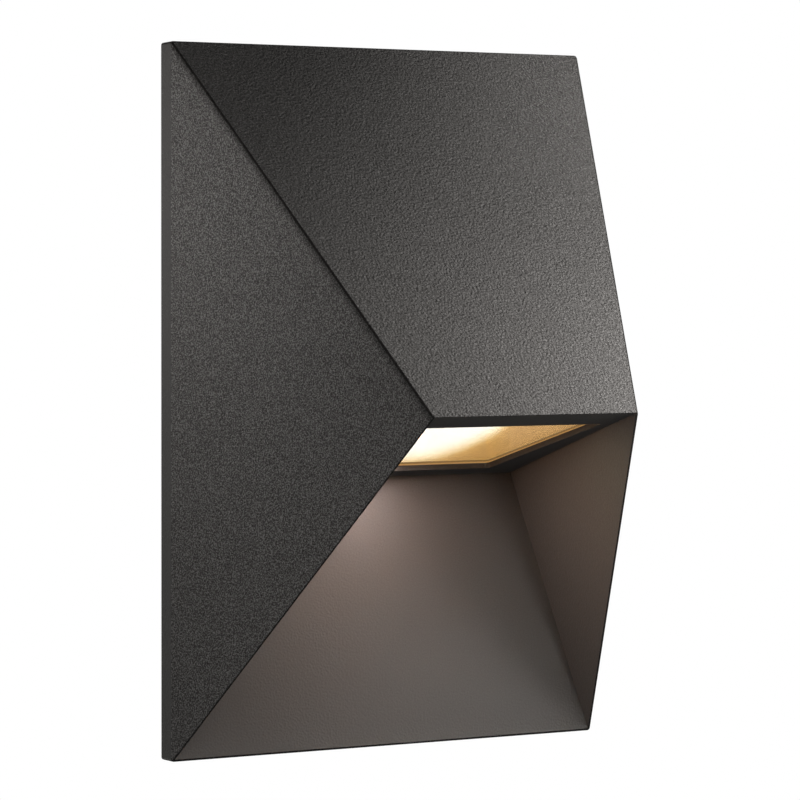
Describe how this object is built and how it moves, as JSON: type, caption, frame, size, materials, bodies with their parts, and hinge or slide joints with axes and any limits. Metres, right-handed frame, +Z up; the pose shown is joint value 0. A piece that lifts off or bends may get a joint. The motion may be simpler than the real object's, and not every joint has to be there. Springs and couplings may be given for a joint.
{
  "type": "outdoor wall light",
  "caption": "Faceted wedge-shaped outdoor wall light: a cast metal body with a splayed open recess and a glass window that throws light down the wall from a hidden board.",
  "frame": {"origin": "middle of the wall plate's two screw slots, on the wall plane and half way up the body", "axes": "+Y into the wall, -Y out of the wall towards the viewer, +Z up, +X to the viewer's right"},
  "size_m": [0.1526, 0.1, 0.222],
  "materials": {
    "powder_coat": "fine textured matt powder coat, graphite",
    "zinc_steel": "zinc plated sheet",
    "foam": "closed cell foam, matt",
    "grommet_rubber": "moulded rubber",
    "earth_brass": "turned",
    "stainless": "turned stainless",
    "silicone": "moulded silicone",
    "clear_glass": "clear toughened glass",
    "reflector_white": "moulded reflector, warm lit",
    "board_white": "white solder mask",
    "phosphor": "LED package",
    "solder": "solder",
    "thermal_grey": "soft pad",
    "bare_aluminium": "mill finish",
    "driver_plastic": "moulded, matt",
    "terminal_nylon": "moulded nylon",
    "tinned_copper": "tinned",
    "brown_pvc": "PVC",
    "blue_pvc": "PVC",
    "green_yellow_pvc": "PVC",
    "red_pvc": "PVC",
    "black_pvc": "PVC"
  },
  "bodies": {
    "mounting": {"wall_plate": "zinc_steel", "wall_gasket": "foam", "cable_grommet": "grommet_rubber", "plate_earth_washer": "stainless", "plate_earth_screw": "earth_brass"},
    "lamp": {"housing": "powder_coat", "fixing_screws": "stainless", "pane_seal": "silicone", "glass_pane": "clear_glass", "reflector": "reflector_white", "led_board": "board_white", "led_chips": "phosphor", "solder_joints": "solder", "thermal_pad": "thermal_grey", "led_carrier": "bare_aluminium", "board_screws": "stainless", "stack_screws": "stainless", "driver_case": "driver_plastic", "driver_lid": "driver_plastic", "driver_screws": "stainless", "terminal_block": "terminal_nylon", "terminal_screws": "stainless", "terminal_fixing_screws": "stainless", "earth_tag": "tinned_copper", "earth_screw": "earth_brass", "live_lead": "brown_pvc", "neutral_lead": "blue_pvc", "earth_lead": "green_yellow_pvc", "led_lead_positive": "red_pvc", "led_lead_negative": "black_pvc"}
  },
  "joints": [
    {"name": "housing_pull_off", "type": "slide", "parent": "mounting", "child": "lamp", "axis": [0, -1, 0], "range_m": [0, 0.06]}
  ]
}
